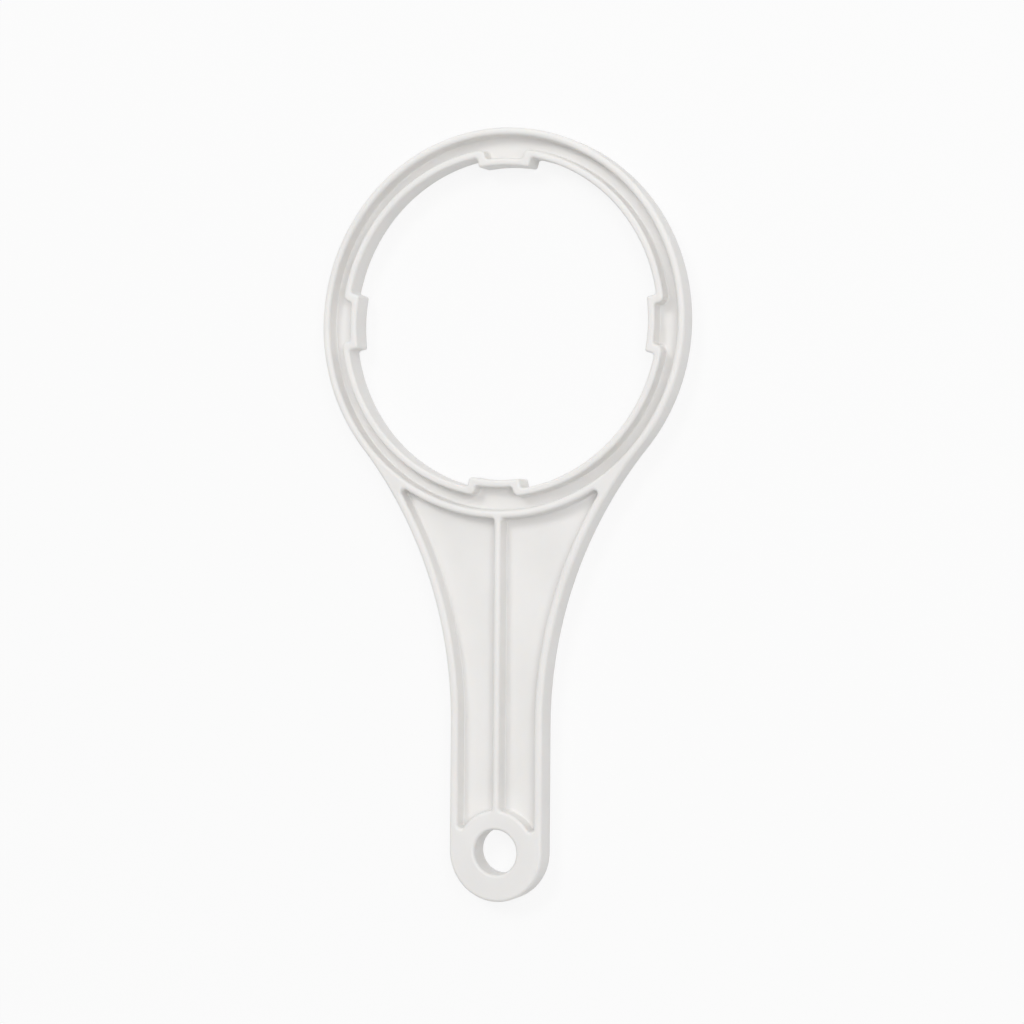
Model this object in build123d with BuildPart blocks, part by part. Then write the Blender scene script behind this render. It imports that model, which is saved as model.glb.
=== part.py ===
from build123d import *
import os
from math import asin, atan2, degrees, isclose, radians, sqrt, tan

# Wrench for the sump of a water filter housing, moulded in one piece.
# The ring drops over the sump, and the lugs inside it push on the ribs of the sump.
# The part lies on its flat back, with its ribbed face up.
# The origin is the centre of the ring on the back face. +Y points away from the handle.

# Whole moulding
thickness = 8.0
web_thickness = 3.4

# Ring, from the bore outwards: inner rim, channel, outer rim
bore_radius = 50.5
inner_rim_width = 2.2
channel_width = 4.0
outer_rim_width = 2.3

# Driving lugs: their number, how far the set is turned from the handle, and how far they widen
lug_count = 4
lug_turn = -1.5
lug_height = 3.0
lug_tip_width = 16.2
lug_flank_angle = 14.0

# Handle
handle_width = 30.0
flare_radius = 130.0
side_rib_width = 2.6
centre_rib_width = 2.2

# Hanging hole, and how far the boss round it runs into the side ribs
hole_distance = 160.0
hole_radius = 6.8
boss_overlap = 0.2

# Corners seen from the front: at the lugs, where the channel bends round a lug, and in the pockets
lug_corner_radius = 0.7
channel_bend_radius = 2.0
pocket_corner_radius = 0.6

# Edges: the rounding of the outer rim, the outline and the hole, and the chamfers on the rest
rim_rounding = 0.6
edge_break = 0.5
inner_rim_break = 0.3

# Worked out from the sizes above
recess_depth = thickness - web_thickness
lug_tip_radius = bore_radius - lug_height
channel_radius = bore_radius + inner_rim_width + channel_width
ring_radius = channel_radius + outer_rim_width
handle_half = handle_width / 2
boss_radius = handle_half - side_rib_width + boss_overlap
flare_x = handle_half + flare_radius
flare_y = -sqrt((ring_radius + flare_radius) ** 2 - flare_x**2)
flare_sweep = degrees(atan2(-flare_y, flare_x))
front = Plane.XY.offset(thickness)


def handle_plan(inset):
    """Draw the handle seen from the front, with its edge drawn in by inset."""
    half = handle_half - inset
    with BuildSketch() as handle:
        with BuildLine():
            flare = CenterArc((flare_x, flare_y), flare_radius + inset, 180 - flare_sweep, flare_sweep)
            Line(flare @ 1, (half, -hole_distance))
            CenterArc((0, -hole_distance), half, 0, -90)
            Line((0, (flare @ 0).Y), flare @ 0)
            mirror(about=Plane.YZ)
        make_face()
    return handle.sketch


def socket_plan(inset, root_corner):
    """Draw the opening of the ring: the bore with the lugs standing into it, grown by inset."""
    bore = bore_radius + inset
    tip_radius = lug_tip_radius + inset
    tip_half = lug_tip_width / 2 - inset
    tip_angle = degrees(asin(tip_half / tip_radius))
    with BuildSketch() as lug:
        with BuildLine():
            tip = CenterArc((0, 0), tip_radius, -tip_angle, 2 * tip_angle)
            base_half = tip_half + (bore - (tip @ 1).X) * tan(radians(lug_flank_angle))
            Polyline(tip @ 0, (bore, -base_half), (ring_radius, 0), (bore, base_half), tip @ 1)
        make_face()
    with BuildSketch() as socket:
        Circle(bore)
        with PolarLocations(0, lug_count, 90 + lug_turn):
            add(lug.sketch, mode=Mode.SUBTRACT)
        fillet(socket.vertices().sort_by_distance((0, 0))[: 2 * lug_count], lug_corner_radius)
        fillet(socket.vertices().sort_by_distance((0, 0))[-2 * lug_count :], root_corner)
    return socket.sketch


def front_faces(body):
    """Find the two flat faces at the front: the inner rim's top, then the rest of the ribs."""
    return body.faces().filter_by_position(Axis.Z, thickness, thickness).sort_by(SortBy.AREA)


with BuildPart() as wrench_body:
    # Outline of the ring and the handle
    with BuildSketch() as outline:
        Circle(ring_radius)
        add(handle_plan(0))
    extrude(amount=thickness)

    # Opening for the sump, with the lugs left standing
    with BuildSketch() as socket:
        add(socket_plan(0, lug_corner_radius))
    extrude(amount=thickness, mode=Mode.SUBTRACT)

    # Channel between the rims. The inner rim follows the bore and steps in round each lug.
    with BuildSketch(front) as channel:
        Circle(channel_radius)
        add(socket_plan(inner_rim_width, channel_bend_radius), mode=Mode.SUBTRACT)
    extrude(amount=-recess_depth, mode=Mode.SUBTRACT)

    # Pockets in the handle, on both sides of the centre rib, from the ring down to the boss
    with BuildSketch(front) as pockets:
        add(handle_plan(side_rib_width))
        Circle(ring_radius, mode=Mode.SUBTRACT)
        Rectangle(centre_rib_width, 2 * hole_distance, mode=Mode.SUBTRACT)
        with Locations((0, -hole_distance)):
            Circle(boss_radius, mode=Mode.SUBTRACT)
            Rectangle(handle_width, handle_width, align=(Align.CENTER, Align.MAX), mode=Mode.SUBTRACT)
        corners = pockets.vertices().filter_by(lambda corner: not isclose(corner.Y, flare_y))
        fillet(corners, pocket_corner_radius)
    extrude(amount=-recess_depth, mode=Mode.SUBTRACT)

    # Hanging hole
    with BuildSketch() as hanging_hole:
        with Locations((0, -hole_distance)):
            Circle(hole_radius)
    extrude(amount=thickness, mode=Mode.SUBTRACT)

    # Chamfers on the inner rim, the pockets and the back
    inner_rim_top, body_top = front_faces(wrench_body)
    hole_edge, *pocket_edges, channel_edge = body_top.inner_wires().sort_by(SortBy.LENGTH)
    chamfer(inner_rim_top.edges(), inner_rim_break)
    chamfer([edge for wire in pocket_edges for edge in wire.edges()], edge_break)
    chamfer(wrench_body.faces().sort_by(Axis.Z)[0].edges(), edge_break)

    # Roundings on the outer rim and the hole
    body_top = front_faces(wrench_body)[-1]
    hole_edge, *pocket_edges, channel_edge = body_top.inner_wires().sort_by(SortBy.LENGTH)
    fillet(body_top.outer_wire().edges() + hole_edge.edges() + channel_edge.edges(), rim_rounding)

wrench_body.part.label = "wrench_body"
os.makedirs("parts", exist_ok=True)
export_step(wrench_body.part, "parts/wrench_body.step")
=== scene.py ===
"""Model the moulded filter housing wrench round its CAD frame, and light it in a plain studio."""

import logging
from collections.abc import Callable
from dataclasses import dataclass
from enum import Enum
from math import acos, atan2, cos, hypot, pi, radians, sin, sqrt

import bmesh
import bpy
from mathutils import Matrix, Vector


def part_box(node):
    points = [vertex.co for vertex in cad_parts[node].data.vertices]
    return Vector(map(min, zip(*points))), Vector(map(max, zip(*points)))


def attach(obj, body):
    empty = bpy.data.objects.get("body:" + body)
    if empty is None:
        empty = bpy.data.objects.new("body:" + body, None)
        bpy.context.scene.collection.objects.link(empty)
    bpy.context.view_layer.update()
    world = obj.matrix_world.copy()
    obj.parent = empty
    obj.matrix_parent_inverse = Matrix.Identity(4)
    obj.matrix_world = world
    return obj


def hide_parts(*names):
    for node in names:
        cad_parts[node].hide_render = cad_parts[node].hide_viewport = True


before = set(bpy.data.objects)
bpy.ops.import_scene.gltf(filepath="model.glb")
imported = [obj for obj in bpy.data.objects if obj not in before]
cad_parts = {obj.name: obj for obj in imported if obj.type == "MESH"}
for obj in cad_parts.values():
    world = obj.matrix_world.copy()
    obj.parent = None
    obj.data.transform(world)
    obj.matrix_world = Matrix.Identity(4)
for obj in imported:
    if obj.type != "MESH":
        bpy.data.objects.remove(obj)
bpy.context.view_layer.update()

NODE = "wrench_body"
BODY = "root"
SLOT = "moulded_plastic"
LOG = logging.getLogger("wrench_scene")

MM = 0.001
WELD = 0.002 * MM
FLAT_ANGLE = radians(0.2)
CREASE_ANGLE = radians(50)
ARC_EDGE = 1.2 * MM
CORNER_STEPS = 8
CHANNEL_MIDDLE = 2.0 * MM
FLAT_NORMAL = 0.9999
RECESS_MARK = "recess"

Point = tuple[float, float]
CENTRE: Point = (0.0, 0.0)


class Axis(Enum):
    """The axis that a chain of edges is mirrored across, with the scale that does it."""

    X = (1.0, -1.0, 1.0)
    Y = (-1.0, 1.0, 1.0)


def polar(radius: float, angle: float, centre: Point = CENTRE) -> Point:
    """Give the point at a radius and an angle, in radians, about a centre."""
    return (centre[0] + radius * cos(angle), centre[1] + radius * sin(angle))


def towards(start: Point, goal: Point, distance: float) -> Point:
    """Give the point at a distance from start, on the way to goal or past it."""
    return polar(distance, atan2(goal[1] - start[1], goal[0] - start[0]), start)


def meet(first: Point, first_radius: float, second: Point, second_radius: float) -> Point:
    """Find where two circles cross.

    Args:
        first: Centre of the first circle.
        first_radius: Its radius.
        second: Centre of the second circle.
        second_radius: Its radius.

    Returns:
        The crossing on the left of the way from the first centre to the second.
    """
    span = hypot(second[0] - first[0], second[1] - first[1])
    bearing = atan2(second[1] - first[1], second[0] - first[0])
    spread = acos((first_radius**2 + span**2 - second_radius**2) / (2 * first_radius * span))
    return polar(first_radius, bearing + spread, first)


def pick(piece: bpy.types.Object) -> None:
    """Select one object alone and make it the active one."""
    bpy.ops.object.select_all(action="DESELECT")
    piece.select_set(True)
    bpy.context.view_layer.objects.active = piece


class Pen:
    """Draws a chain of edges on the plane of the back, by extruding and spinning one vertex."""

    def __init__(self, name: str, start: Point) -> None:
        """Put the first vertex down.

        Args:
            name: Name of the chain's object.
            start: Where the chain starts.
        """
        bpy.ops.object.select_all(action="DESELECT")
        bpy.ops.mesh.primitive_plane_add(size=MM, location=(*start, 0.0))
        self.chain = bpy.context.object
        self.chain.name = name
        bpy.ops.object.transform_apply(location=True, rotation=True, scale=True)
        bpy.ops.object.mode_set(mode="EDIT")
        bpy.ops.mesh.select_all(action="SELECT")
        bpy.ops.mesh.merge(type="CENTER")
        self.place = start

    def line_to(self, goal: Point) -> None:
        """Draw a straight edge."""
        step = (goal[0] - self.place[0], goal[1] - self.place[1], 0.0)
        bpy.ops.mesh.extrude_region_move(TRANSFORM_OT_translate={"value": step})
        self.place = goal

    def arc_to(self, centre: Point, goal: Point, least: int = 1) -> None:
        """Draw an arc the short way round a centre.

        Args:
            centre: The arc's centre.
            goal: Where the arc ends.
            least: The fewest edges that it may have.
        """
        start_angle = atan2(self.place[1] - centre[1], self.place[0] - centre[0])
        goal_angle = atan2(goal[1] - centre[1], goal[0] - centre[0])
        sweep = (goal_angle - start_angle + pi) % (2 * pi) - pi
        length = abs(sweep) * hypot(goal[0] - centre[0], goal[1] - centre[1])
        steps = max(least, round(length / ARC_EDGE))
        bpy.ops.mesh.spin(steps=steps, angle=-sweep, center=(*centre, 0.0), axis=(0, 0, 1))
        self.place = goal

    def lift(self) -> bpy.types.Object:
        """Leave edit mode and give the chain."""
        bpy.ops.object.mode_set(mode="OBJECT")
        return self.chain


def circle(name: str, radius: float, centre: Point, edges: int) -> bpy.types.Object:
    """Add a closed circle of edges at its size and place."""
    bpy.ops.object.select_all(action="DESELECT")
    bpy.ops.mesh.primitive_circle_add(vertices=edges, radius=radius, location=(*centre, 0.0))
    ring = bpy.context.object
    ring.name = name
    bpy.ops.object.transform_apply(location=True, rotation=True, scale=True)
    return ring


def copy_of(piece: bpy.types.Object) -> bpy.types.Object:
    """Copy an object together with its mesh."""
    pick(piece)
    bpy.ops.object.duplicate(linked=False)
    return bpy.context.object


def mirrored(piece: bpy.types.Object, across: Axis) -> bpy.types.Object:
    """Copy a chain of edges and mirror the copy across an axis."""
    twin = copy_of(piece)
    twin.scale = across.value
    bpy.ops.object.transform_apply(location=False, rotation=False, scale=True)
    return twin


def turned(piece: bpy.types.Object, angle: float) -> bpy.types.Object:
    """Copy a chain of edges and turn the copy about the ring's axis."""
    twin = copy_of(piece)
    twin.rotation_euler = (0.0, 0.0, angle)
    bpy.ops.object.transform_apply(location=False, rotation=True, scale=False)
    return twin


def joined(name: str, pieces: list[bpy.types.Object]) -> bpy.types.Object:
    """Make several meshes one, and weld the vertices that they share.

    Args:
        name: Name of the joined object.
        pieces: The meshes, which are used up.

    Returns:
        The joined object.
    """
    bpy.ops.object.select_all(action="DESELECT")
    for piece in pieces:
        piece.select_set(True)
    bpy.context.view_layer.objects.active = pieces[0]
    bpy.ops.object.join()
    whole = bpy.context.object
    whole.name = name
    bpy.ops.object.mode_set(mode="EDIT")
    bpy.ops.mesh.select_all(action="SELECT")
    bpy.ops.mesh.remove_doubles(threshold=WELD)
    bpy.ops.object.mode_set(mode="OBJECT")
    return whole


def filled(name: str, loops: list[bpy.types.Object], recessed: bool) -> bpy.types.Object:
    """Fill the plane between closed chains of edges.

    Args:
        name: Name of the filled region.
        loops: The chain round the region and the chains round its holes, which are copied.
        recessed: Whether the region becomes the floor of a recess.

    Returns:
        The region, as flat faces.
    """
    region = joined(name, [copy_of(loop) for loop in loops])
    bpy.ops.object.mode_set(mode="EDIT")
    bpy.ops.mesh.select_all(action="SELECT")
    bpy.ops.mesh.fill(use_beauty=True)
    bpy.ops.mesh.select_all(action="SELECT")
    bpy.ops.mesh.dissolve_limited(angle_limit=FLAT_ANGLE)
    bpy.ops.object.mode_set(mode="OBJECT")
    mark = region.data.attributes.new(RECESS_MARK, "INT", "FACE")
    for value in mark.data:
        value.value = int(recessed)
    return region


def select_faces(piece: bpy.types.Object, test: Callable[[bmesh.types.BMFace, int], bool]) -> None:
    """Select the faces that pass a test, in edit mode.

    Args:
        piece: The object in edit mode.
        test: Takes a face and its recess mark, and says whether the face is wanted.
    """
    bpy.ops.mesh.select_all(action="DESELECT")
    bpy.ops.mesh.select_mode(type="FACE")
    mesh = bmesh.from_edit_mesh(piece.data)
    marks = mesh.faces.layers.int[RECESS_MARK]
    for face in mesh.faces:
        face.select_set(test(face, face[marks]))
    bmesh.update_edit_mesh(piece.data)


def select_creases(piece: bpy.types.Object, height: float, inside: Callable[[Vector], bool]) -> None:
    """Select the sharp edges that lie at one height, in edit mode.

    Args:
        piece: The object in edit mode.
        height: Height of the edges.
        inside: Takes the middle of an edge, and says whether the edge is wanted.
    """
    bpy.ops.mesh.select_all(action="DESELECT")
    bpy.ops.mesh.select_mode(type="EDGE")
    mesh = bmesh.from_edit_mesh(piece.data)
    for edge in mesh.edges:
        level = all(abs(vertex.co.z - height) < WELD for vertex in edge.verts)
        sharp = len(edge.link_faces) == 2 and edge.calc_face_angle() > CREASE_ANGLE
        edge.select_set(level and sharp and inside((edge.verts[0].co + edge.verts[1].co) / 2))
    bmesh.update_edit_mesh(piece.data)


def select_rims(piece: bpy.types.Object, height: float, inside: Callable[[Vector], bool]) -> None:
    """Select the open edges round a missing flat face, in edit mode.

    Args:
        piece: The object in edit mode.
        height: Height of the face.
        inside: Takes the middle of an edge, and says whether the edge belongs to the face.
    """
    bpy.ops.mesh.select_all(action="DESELECT")
    bpy.ops.mesh.select_mode(type="EDGE")
    mesh = bmesh.from_edit_mesh(piece.data)
    for edge in mesh.edges:
        middle = (edge.verts[0].co + edge.verts[1].co) / 2
        edge.select_set(edge.is_boundary and abs(middle.z - height) < WELD and inside(middle))
    bmesh.update_edit_mesh(piece.data)


@dataclass
class Socket:
    """The opening of the ring, with the driving lugs that stand into it."""

    bore: float = 50.5 * MM
    lug_height: float = 3.0 * MM
    lug_tip_width: float = 16.2 * MM
    flank: float = radians(14.0)
    lug_count: int = 4
    turn: float = radians(-1.5)

    def edge(self, name: str, inset: float, root_corner: float, tip_corner: float) -> bpy.types.Object:
        """Draw the opening's edge, or a line that follows it inside the plastic.

        Args:
            name: Name of the chain.
            inset: How far the chain lies behind the opening's own edge.
            root_corner: Radius of the corners where the lugs begin.
            tip_corner: Radius of the corners at the tips of the lugs.

        Returns:
            The closed chain.
        """
        half = self.half_lug(name, inset, root_corner, tip_corner)
        quarter = joined(name, [half, mirrored(half, Axis.X)])
        step = 2 * pi / self.lug_count
        copies = [turned(quarter, number * step) for number in range(1, self.lug_count)]
        whole = joined(name, [quarter, *copies])
        whole.rotation_euler = (0.0, 0.0, self.turn)
        bpy.ops.object.transform_apply(location=False, rotation=True, scale=False)
        return whole

    def half_lug(self, name: str, inset: float, root_corner: float, tip_corner: float) -> bpy.types.Object:
        """Draw the edge from midway between two lugs to the middle of a lug's tip.

        Args:
            name: Name of the chain.
            inset: How far the chain lies behind the opening's own edge.
            root_corner: Radius of the corner where the lug begins.
            tip_corner: Radius of the corner at the lug's tip.

        Returns:
            The chain, with the middle of the lug on the x axis.
        """
        bore = self.bore + inset
        tip = bore - self.lug_height
        half = self.lug_tip_width / 2 - inset
        along = Vector((cos(self.flank), sin(self.flank)))
        normal = Vector((-sin(self.flank), cos(self.flank)))
        side = normal.dot(Vector((sqrt(tip**2 - half**2), half)))

        root_offset = side + root_corner
        root = normal * root_offset + along * sqrt((bore - root_corner) ** 2 - root_offset**2)
        nose_offset = side - tip_corner
        nose = normal * nose_offset + along * sqrt((tip + tip_corner) ** 2 - nose_offset**2)

        pen = Pen(name, polar(bore, pi / self.lug_count))
        pen.arc_to(CENTRE, towards(CENTRE, tuple(root), bore))
        pen.arc_to(tuple(root), tuple(root - normal * root_corner), CORNER_STEPS)
        pen.line_to(tuple(nose + normal * tip_corner))
        pen.arc_to(tuple(nose), towards(CENTRE, tuple(nose), tip), CORNER_STEPS)
        pen.arc_to(CENTRE, (tip, 0.0))
        return pen.lift()


@dataclass
class Handle:
    """The outline of the handle, from the ring to the round end, and the pockets in it."""

    ring: float
    hole_distance: float
    half_width: float
    flare: float = 130.0 * MM
    side_rib: float = 2.6 * MM
    centre_rib: float = 2.2 * MM
    hole: float = 6.8 * MM
    boss_wall: float = 5.8 * MM
    pocket_corner: float = 1.1 * MM
    hole_edges: int = 96

    def flare_centre(self) -> Point:
        """Give the centre of the flare on the right, which touches the ring and the handle's side."""
        x = self.half_width + self.flare
        return (x, -sqrt((self.ring + self.flare) ** 2 - x**2))

    def hole_centre(self) -> Point:
        """Give the centre of the hanging hole."""
        return (0.0, -self.hole_distance)

    def outline(self, name: str) -> bpy.types.Object:
        """Draw the outline of the whole wrench."""
        flare = self.flare_centre()
        end = self.hole_centre()
        pen = Pen(name, (0.0, self.ring))
        pen.arc_to(CENTRE, (self.ring, 0.0))
        pen.arc_to(CENTRE, towards(CENTRE, flare, self.ring))
        pen.arc_to(flare, (self.half_width, flare[1]))
        pen.line_to((self.half_width, end[1]))
        pen.arc_to(end, (0.0, end[1] - self.half_width))
        half = pen.lift()
        return joined(name, [half, mirrored(half, Axis.Y)])

    def pocket(self, name: str) -> bpy.types.Object:
        """Draw the edge of the pocket on the right of the centre rib."""
        corner = self.pocket_corner
        rib = self.centre_rib / 2
        side = self.half_width - self.side_rib
        flare = self.flare_centre()
        flare_radius = self.flare + self.side_rib
        boss = self.hole_centre()
        boss_radius = self.hole + self.boss_wall

        rib_top = (rib + corner, -sqrt((self.ring + corner) ** 2 - (rib + corner) ** 2))
        wing = meet(flare, flare_radius + corner, CENTRE, self.ring + corner)
        reach = boss_radius + corner
        side_foot = (side - corner, boss[1] + sqrt(reach**2 - (side - corner) ** 2))
        rib_foot = (rib + corner, boss[1] + sqrt(reach**2 - (rib + corner) ** 2))

        pen = Pen(name, (rib, rib_foot[1]))
        pen.line_to((rib, rib_top[1]))
        pen.arc_to(rib_top, towards(CENTRE, rib_top, self.ring), CORNER_STEPS)
        pen.arc_to(CENTRE, towards(CENTRE, wing, self.ring))
        pen.arc_to(wing, towards(flare, wing, flare_radius), CORNER_STEPS)
        pen.arc_to(flare, (side, flare[1]))
        pen.line_to((side, side_foot[1]))
        pen.arc_to(side_foot, towards(boss, side_foot, boss_radius), CORNER_STEPS)
        pen.arc_to(boss, towards(boss, rib_foot, boss_radius))
        pen.arc_to(rib_foot, (rib, rib_foot[1]), CORNER_STEPS)
        return joined(name, [pen.lift()])

    def hanging_hole(self, name: str) -> bpy.types.Object:
        """Draw the edge of the hanging hole."""
        return circle(name, self.hole, self.hole_centre(), self.hole_edges)


@dataclass
class Wrench:
    """The whole moulding: the ring with its channel, and the handle with its pockets."""

    width: float
    thickness: float
    foot: float
    web: float = 3.4 * MM
    outer_rim: float = 2.3 * MM
    inner_rim: float = 2.2 * MM
    lug_corner: float = 0.85 * MM
    channel_bend: float = 2.0 * MM
    channel_corner: float = 1.1 * MM
    handle_half_width: float = 15.0 * MM
    channel_edges: int = 288
    draft: float = 0.2 * MM
    front_rounding: float = 1.0 * MM
    inner_rim_rounding: float = 0.8 * MM
    floor_rounding: float = 0.5 * MM
    back_rounding: float = 0.8 * MM
    rounding_steps: int = 5

    def build(self) -> bpy.types.Object:
        """Model the moulding.

        Returns:
            The finished object, with its place in its mesh.
        """
        body = self.plan()
        self.raise_ribs(body)
        self.sink_recesses(body)
        self.round_edges(body)
        self.flatten(body)
        self.smooth(body)
        return body

    def channel_middle(self) -> float:
        """Give the radius of the channel's middle, which parts the two rims."""
        return self.width / 2 - self.outer_rim - CHANNEL_MIDDLE

    def plan(self) -> bpy.types.Object:
        """Draw the moulding flat, as the tops of its ribs and the floors of its recesses."""
        ring = self.width / 2
        hole_distance = -self.foot - self.handle_half_width
        handle = Handle(ring=ring, hole_distance=hole_distance, half_width=self.handle_half_width)
        socket = Socket()

        outline = handle.outline("outline")
        bore = socket.edge("bore_edge", 0.0, self.lug_corner, self.lug_corner)
        inner = socket.edge("inner_rim_edge", self.inner_rim, self.channel_bend, self.channel_corner)
        channel = circle("channel_edge", ring - self.outer_rim, CENTRE, self.channel_edges)
        right = handle.pocket("pocket_right")
        left = mirrored(right, Axis.Y)
        hole = handle.hanging_hole("hole_edge")

        regions = [
            filled("body_top", [outline, channel, right, left, hole], recessed=False),
            filled("inner_rim_top", [inner, bore], recessed=False),
            filled("channel_floor", [channel, inner], recessed=True),
            filled("pocket_floor_right", [right], recessed=True),
            filled("pocket_floor_left", [left], recessed=True),
        ]
        for chain in (outline, bore, inner, channel, right, left, hole):
            bpy.data.objects.remove(chain)
        return joined(NODE + "_moulding", regions)

    def raise_ribs(self, body: bpy.types.Object) -> None:
        """Extrude the flat plan up to the full thickness."""
        pick(body)
        bpy.ops.object.mode_set(mode="EDIT")
        bpy.ops.mesh.select_all(action="SELECT")
        bpy.ops.mesh.extrude_region_move(TRANSFORM_OT_translate={"value": (0.0, 0.0, self.thickness)})
        bpy.ops.mesh.select_all(action="SELECT")
        bpy.ops.mesh.normals_make_consistent(inside=False)
        bpy.ops.object.mode_set(mode="OBJECT")

    def sink_recesses(self, body: bpy.types.Object) -> None:
        """Sink the channel and the pockets between the ribs, with walls that close in by the draft."""
        pick(body)
        bpy.ops.object.mode_set(mode="EDIT")
        select_faces(body, lambda face, mark: mark == 1 and face.calc_center_median().z > self.web)
        bpy.ops.mesh.inset(thickness=self.draft, use_boundary=True, use_even_offset=True)
        bpy.ops.transform.translate(value=(0.0, 0.0, self.web - self.thickness))
        bpy.ops.object.mode_set(mode="OBJECT")

    def round_edges(self, body: bpy.types.Object) -> None:
        """Round the tops of the ribs, their roots at the floors, and the edges of the back."""
        middle = self.channel_middle()
        roundings: tuple[tuple[float, float, Callable[[Vector], bool]], ...] = (
            (self.thickness, self.front_rounding, lambda place: place.xy.length > middle),
            (self.thickness, self.inner_rim_rounding, lambda place: place.xy.length < middle),
            (self.web, self.floor_rounding, lambda place: True),
            (0.0, self.back_rounding, lambda place: True),
        )
        pick(body)
        bpy.ops.object.mode_set(mode="EDIT")
        for height, radius, inside in roundings:
            select_creases(body, height, inside)
            bpy.ops.mesh.bevel(
                offset=radius,
                offset_type="OFFSET",
                segments=self.rounding_steps,
                profile=0.5,
                affect="EDGES",
                clamp_overlap=False,
                loop_slide=False,
            )
        bpy.ops.object.mode_set(mode="OBJECT")

    def flatten(self, body: bpy.types.Object) -> None:
        """Fill the flat faces afresh between their rounded edges."""
        ring = self.width / 2
        middle = self.channel_middle()
        flats: tuple[tuple[float, Callable[[Vector], bool]], ...] = (
            (self.thickness, lambda place: place.xy.length > middle),
            (self.thickness, lambda place: place.xy.length < middle),
            (self.web, lambda place: place.xy.length < ring),
            (self.web, lambda place: place.xy.length > ring and place.x > 0),
            (self.web, lambda place: place.xy.length > ring and place.x < 0),
            (0.0, lambda place: True),
        )
        pick(body)
        bpy.ops.object.mode_set(mode="EDIT")
        select_faces(body, lambda face, mark: abs(face.normal.z) > FLAT_NORMAL)
        bpy.ops.mesh.delete(type="FACE")
        for height, inside in flats:
            select_rims(body, height, inside)
            bpy.ops.mesh.fill(use_beauty=True)
        bpy.ops.mesh.select_all(action="SELECT")
        bpy.ops.mesh.normals_make_consistent(inside=False)
        bpy.ops.object.mode_set(mode="OBJECT")

    def smooth(self, body: bpy.types.Object) -> None:
        """Shade the curved faces smooth and keep the flat ones flat."""
        pick(body)
        bpy.ops.object.shade_smooth()
        weighted = body.modifiers.new("flat_faces", "WEIGHTED_NORMAL")
        weighted.mode = "FACE_AREA"
        weighted.weight = 100
        bpy.ops.object.modifier_apply(modifier=weighted.name)
        body.data.attributes.remove(body.data.attributes[RECESS_MARK])


@dataclass(frozen=True)
class MouldedPlastic:
    """Off-white moulded plastic with a soft satin sheen."""

    light: tuple[float, float, float] = (0.84, 0.829, 0.816)
    dark: tuple[float, float, float] = (0.805, 0.794, 0.778)
    patch_scale: float = 45.0
    grain_scale: float = 2600.0
    roughness_low: float = 0.42
    roughness_high: float = 0.56
    bump: float = 0.12
    bump_depth: float = 0.00002

    def material(self) -> bpy.types.Material:
        """Make the material, with slow patches of tone and a fine grain.

        Returns:
            The finished material.
        """
        finish = bpy.data.materials.new(SLOT)
        finish.use_nodes = True
        nodes = finish.node_tree.nodes
        links = finish.node_tree.links
        shader = nodes["Principled BSDF"]
        shader.inputs["IOR"].default_value = 1.49
        shader.inputs["Subsurface Weight"].default_value = 0.25
        shader.inputs["Subsurface Radius"].default_value = (1.0, 0.85, 0.7)
        shader.inputs["Subsurface Scale"].default_value = 0.0015

        place = nodes.new("ShaderNodeTexCoord")
        patches = nodes.new("ShaderNodeTexNoise")
        patches.inputs["Scale"].default_value = self.patch_scale
        patches.inputs["Detail"].default_value = 4.0
        tone = nodes.new("ShaderNodeValToRGB")
        tone.color_ramp.elements[0].position = 0.3
        tone.color_ramp.elements[0].color = (*self.dark, 1.0)
        tone.color_ramp.elements[1].position = 0.7
        tone.color_ramp.elements[1].color = (*self.light, 1.0)
        gloss = nodes.new("ShaderNodeMapRange")
        gloss.inputs["To Min"].default_value = self.roughness_low
        gloss.inputs["To Max"].default_value = self.roughness_high
        grain = nodes.new("ShaderNodeTexNoise")
        grain.inputs["Scale"].default_value = self.grain_scale
        grain.inputs["Detail"].default_value = 2.0
        relief = nodes.new("ShaderNodeBump")
        relief.inputs["Strength"].default_value = self.bump
        relief.inputs["Distance"].default_value = self.bump_depth

        links.new(place.outputs["Object"], patches.inputs["Vector"])
        links.new(place.outputs["Object"], grain.inputs["Vector"])
        links.new(patches.outputs["Fac"], tone.inputs["Fac"])
        links.new(patches.outputs["Fac"], gloss.inputs["Value"])
        links.new(tone.outputs["Color"], shader.inputs["Base Color"])
        links.new(gloss.outputs["Result"], shader.inputs["Roughness"])
        links.new(grain.outputs["Fac"], relief.inputs["Height"])
        links.new(relief.outputs["Normal"], shader.inputs["Normal"])
        return finish


@dataclass(frozen=True)
class Lamp:
    """A soft square area lamp that looks at the wrench."""

    name: str
    place: tuple[float, float, float]
    size: float
    power: float

    def hang(self, target: Vector) -> None:
        """Put the lamp up and turn it to the target."""
        light = bpy.data.lights.new(self.name, "AREA")
        light.shape = "SQUARE"
        light.size = self.size
        light.energy = self.power
        lamp = bpy.data.objects.new(self.name, light)
        lamp.location = self.place
        lamp.rotation_euler = (target - Vector(self.place)).to_track_quat("-Z", "Y").to_euler()
        bpy.context.collection.objects.link(lamp)


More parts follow.
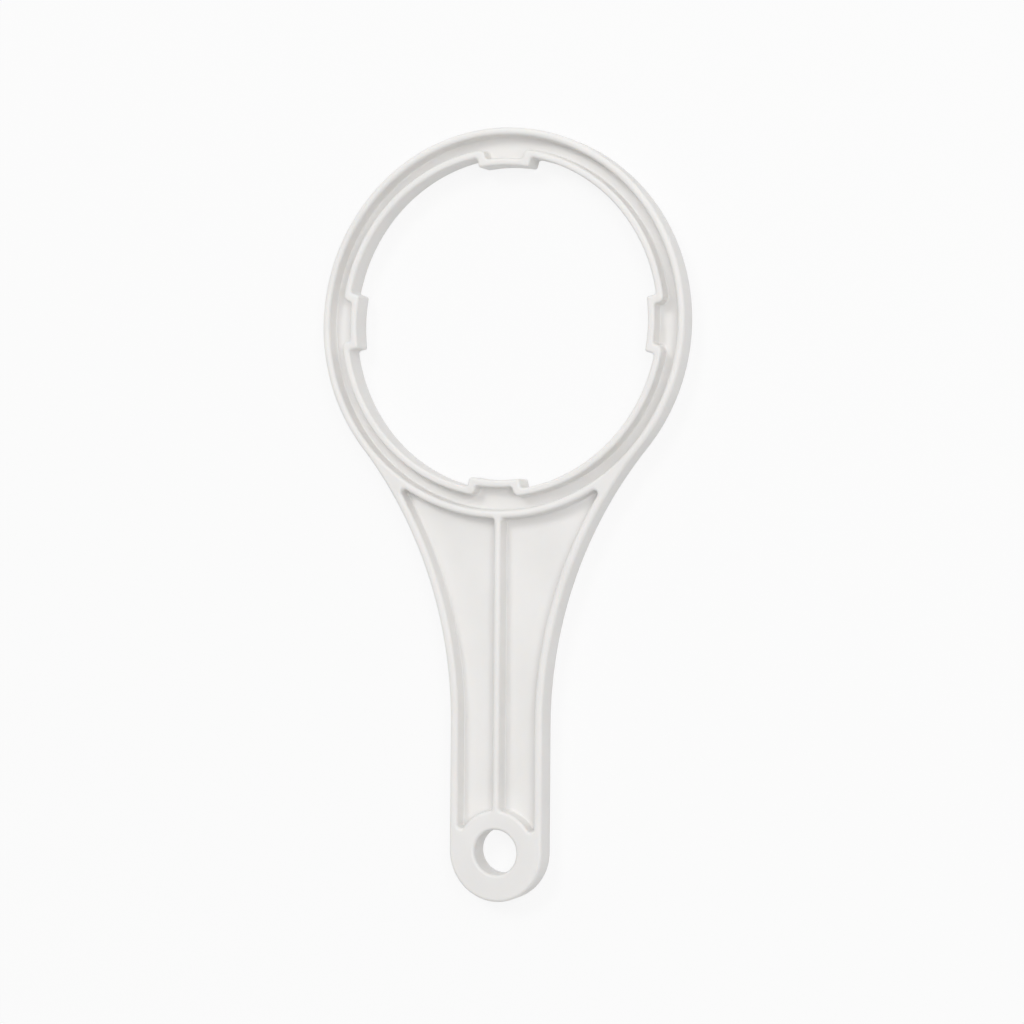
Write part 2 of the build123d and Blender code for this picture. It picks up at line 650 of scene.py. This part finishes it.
@dataclass
class Studio:
    """The floor, the world and the lamps."""

    target: Vector
    floor_size: float = 6.0
    floor_gap: float = 0.02 * MM
    floor_colour: tuple[float, float, float] = (0.8, 0.8, 0.8)
    floor_glow: float = 0.84
    world_strength: float = 0.49
    lamps: tuple[Lamp, ...] = (
        Lamp("front", (1.1, 0.2, 2.1), 1.3, 17.5),
        Lamp("upper_left", (-0.9, 1.3, 2.0), 0.8, 16.5),
        Lamp("upper_right", (1.25, 1.4, 1.6), 1.4, 6.5),
    )

    def build(self) -> None:
        """Lay the floor, light the world and hang the lamps."""
        self.lay_floor()
        self.light_world()
        for lamp in self.lamps:
            lamp.hang(self.target)

    def lay_floor(self) -> None:
        """Lay a plain pale floor that shows white to the camera and keeps the shadow."""
        bpy.ops.object.select_all(action="DESELECT")
        bpy.ops.mesh.primitive_plane_add(size=self.floor_size, location=(0.0, 0.0, -self.floor_gap))
        floor = bpy.context.object
        floor.name = "floor"
        bpy.ops.object.transform_apply(location=True, rotation=True, scale=True)
        floor.data.materials.append(self.floor_material())

    def floor_material(self) -> bpy.types.Material:
        """Make the floor's material: pale and matt, with a glow for the camera and reflections."""
        paper = bpy.data.materials.new("floor_paper")
        paper.use_nodes = True
        nodes = paper.node_tree.nodes
        links = paper.node_tree.links
        matt = nodes["Principled BSDF"]
        matt.inputs["Base Color"].default_value = (*self.floor_colour, 1.0)
        matt.inputs["Roughness"].default_value = 0.9
        matt.inputs["Specular IOR Level"].default_value = 0.0
        glow = nodes.new("ShaderNodeEmission")
        glow.inputs["Color"].default_value = (1.0, 1.0, 1.0, 1.0)
        path = nodes.new("ShaderNodeLightPath")
        seen = nodes.new("ShaderNodeMath")
        seen.operation = "MAXIMUM"
        share = nodes.new("ShaderNodeMath")
        share.operation = "MULTIPLY"
        share.inputs[1].default_value = self.floor_glow
        blend = nodes.new("ShaderNodeMixShader")
        links.new(path.outputs["Is Camera Ray"], seen.inputs[0])
        links.new(path.outputs["Is Glossy Ray"], seen.inputs[1])
        links.new(seen.outputs["Value"], share.inputs[0])
        links.new(share.outputs["Value"], blend.inputs["Fac"])
        links.new(matt.outputs["BSDF"], blend.inputs[1])
        links.new(glow.outputs["Emission"], blend.inputs[2])
        links.new(blend.outputs["Shader"], nodes["Material Output"].inputs["Surface"])
        return paper

    def light_world(self) -> None:
        """Light the world plainly, and show it white to the camera."""
        world = bpy.data.worlds.new("studio")
        bpy.context.scene.world = world
        world.use_nodes = True
        nodes = world.node_tree.nodes
        links = world.node_tree.links
        plain = nodes["Background"]
        plain.inputs["Color"].default_value = (1.0, 1.0, 1.0, 1.0)
        plain.inputs["Strength"].default_value = self.world_strength
        white = nodes.new("ShaderNodeBackground")
        white.inputs["Color"].default_value = (1.0, 1.0, 1.0, 1.0)
        white.inputs["Strength"].default_value = 1.0
        path = nodes.new("ShaderNodeLightPath")
        blend = nodes.new("ShaderNodeMixShader")
        links.new(path.outputs["Is Camera Ray"], blend.inputs["Fac"])
        links.new(plain.outputs["Background"], blend.inputs[1])
        links.new(white.outputs["Background"], blend.inputs[2])
        links.new(blend.outputs["Shader"], nodes["World Output"].inputs["Surface"])


@dataclass(frozen=True)
class Viewpoint:
    """The photograph's viewpoint: how the camera is turned, and where the wrench stands from it."""

    turn: float = radians(-22.05)
    tilt: float = radians(0.105)
    roll: float = radians(-0.413)
    sideways: float = -4.12 * MM
    upwards: float = 57.14 * MM
    distance: float = 785.4 * MM
    lens: float = 91.5

    def place(self, front: float) -> None:
        """Put the camera up.

        Args:
            front: Height of the wrench's front face, from which the distance is measured.
        """
        view = Matrix.Rotation(self.roll, 3, "Z") @ Matrix.Rotation(self.tilt, 3, "X")
        view = view @ Matrix.Rotation(self.turn, 3, "Y")
        stand = view.transposed() @ Vector((-self.sideways, -self.upwards, self.distance))
        camera = bpy.data.objects.new("camera", bpy.data.cameras.new("camera"))
        camera.data.lens = self.lens
        camera.data.clip_start = 0.01
        camera.rotation_euler = view.transposed().to_euler()
        camera.location = stand + Vector((0.0, 0.0, front))
        bpy.context.collection.objects.link(camera)
        bpy.context.scene.camera = camera


def main() -> None:
    """Build the wrench, dress it, and set the studio and the camera."""
    logging.basicConfig(level=logging.INFO, format="%(name)s: %(message)s")
    low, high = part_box(NODE)
    wrench = Wrench(width=high.x - low.x, thickness=high.z - low.z, foot=low.y)
    body = wrench.build()
    body.data.materials.clear()
    body.data.materials.append(MouldedPlastic().material())
    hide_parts(NODE)
    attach(body, BODY)
    LOG.info("%s: %d faces", body.name, len(body.data.polygons))

    Studio(target=(low + high) / 2).build()
    Viewpoint().place(high.z)
    bpy.context.scene.view_settings.view_transform = "Standard"


def plain(bounds: tuple[Vector, Vector]) -> list[list[float]]:
    """Turn a box's two corners into plain lists of numbers."""
    return [list(corner) for corner in bounds]


if __name__ == "__main__":
    main()
